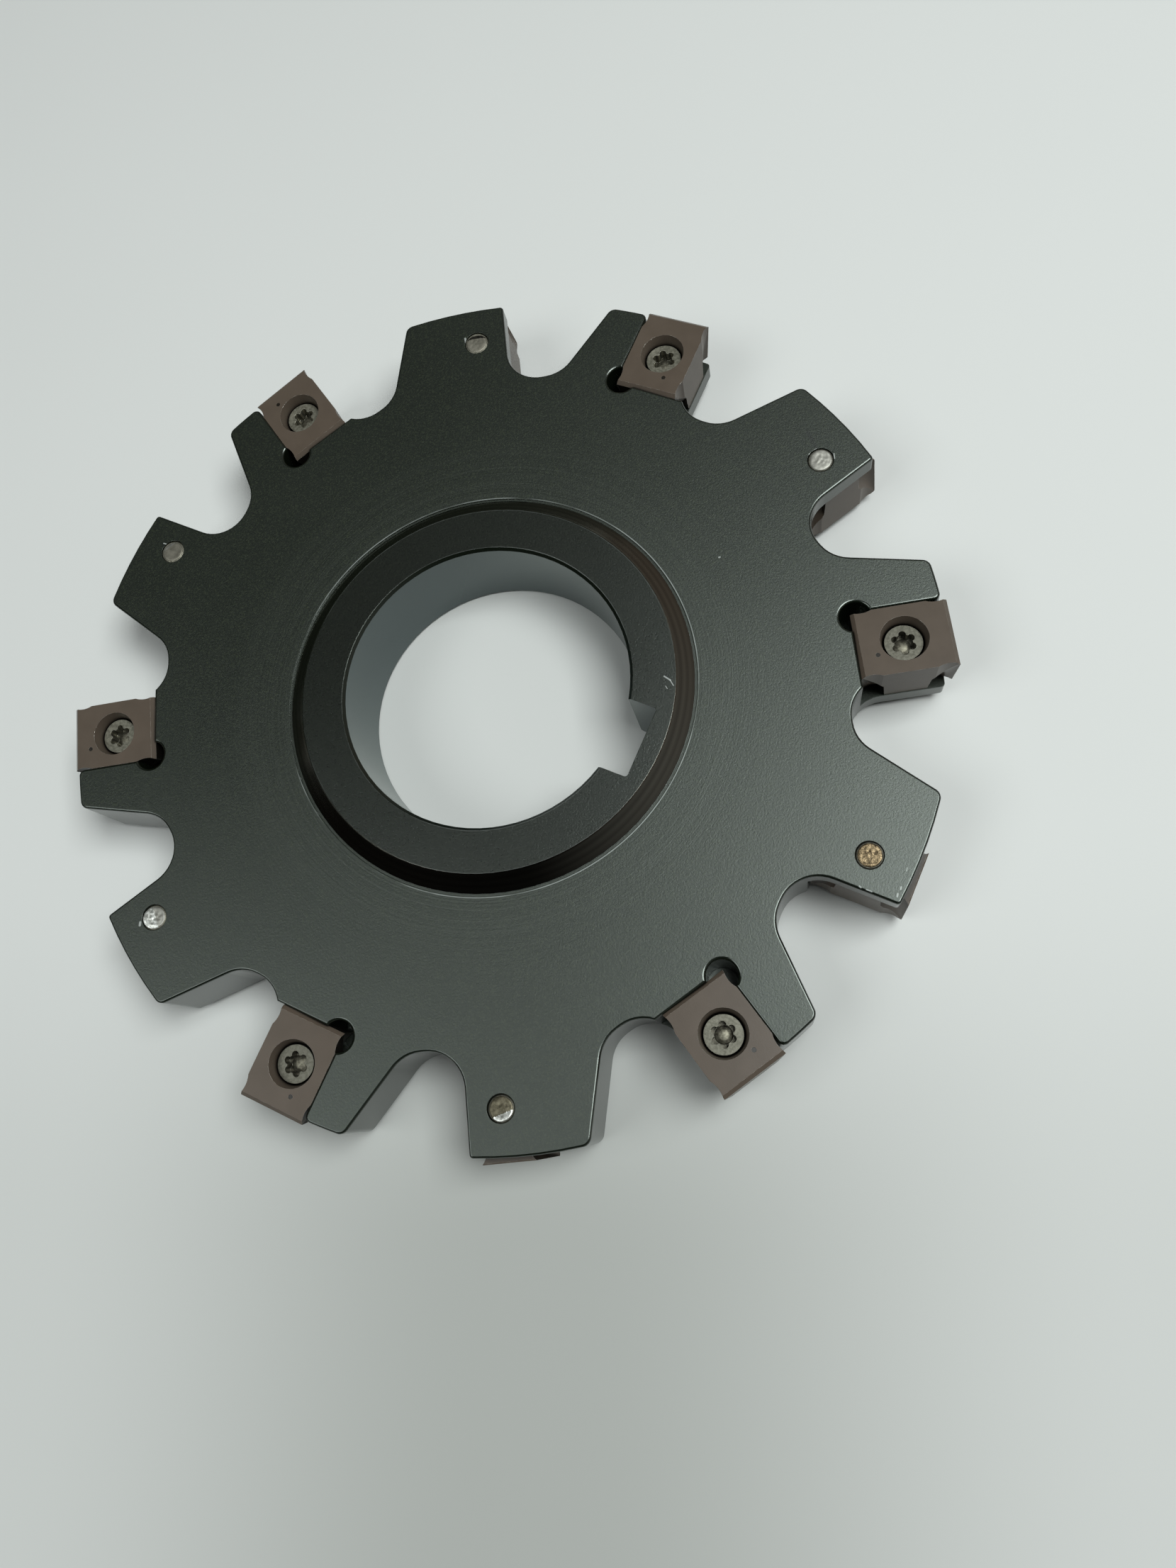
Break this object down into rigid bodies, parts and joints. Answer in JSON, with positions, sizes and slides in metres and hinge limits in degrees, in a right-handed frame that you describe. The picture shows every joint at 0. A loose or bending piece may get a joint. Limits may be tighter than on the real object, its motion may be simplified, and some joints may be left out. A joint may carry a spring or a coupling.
{
  "type": "slitting saw",
  "caption": "Disc-shaped milling cutter with a keyed bore and a hub, for cutting slots. Screwed-in carbide inserts alternate between its two faces.",
  "frame": {"origin": "on the bore axis, half way through the hub's width", "axes": "+Z along the bore axis, out of the upper hub face; +X from the axis through the middle of the keyway"},
  "size_m": [0.1242, 0.1242, 0.014],
  "materials": {
    "body_steel": "dark blued steel, fine turned",
    "insert_carbide": "satin brown-grey coating on sintered carbide",
    "screw_steel": "dull grey hardened steel"
  },
  "bodies": {
    "root": {"cutter_body": "body_steel", "upper_insert_1": "insert_carbide", "upper_insert_2": "insert_carbide", "upper_insert_3": "insert_carbide", "upper_insert_4": "insert_carbide", "upper_insert_5": "insert_carbide", "upper_insert_6": "insert_carbide", "lower_insert_1": "insert_carbide", "lower_insert_2": "insert_carbide", "lower_insert_3": "insert_carbide", "lower_insert_4": "insert_carbide", "lower_insert_5": "insert_carbide", "lower_insert_6": "insert_carbide", "upper_screw_1": "screw_steel", "upper_screw_2": "screw_steel", "upper_screw_3": "screw_steel", "upper_screw_4": "screw_steel", "upper_screw_5": "screw_steel", "upper_screw_6": "screw_steel", "lower_screw_1": "screw_steel", "lower_screw_2": "screw_steel", "lower_screw_3": "screw_steel", "lower_screw_4": "screw_steel", "lower_screw_5": "screw_steel", "lower_screw_6": "screw_steel"}
  },
  "joints": []
}
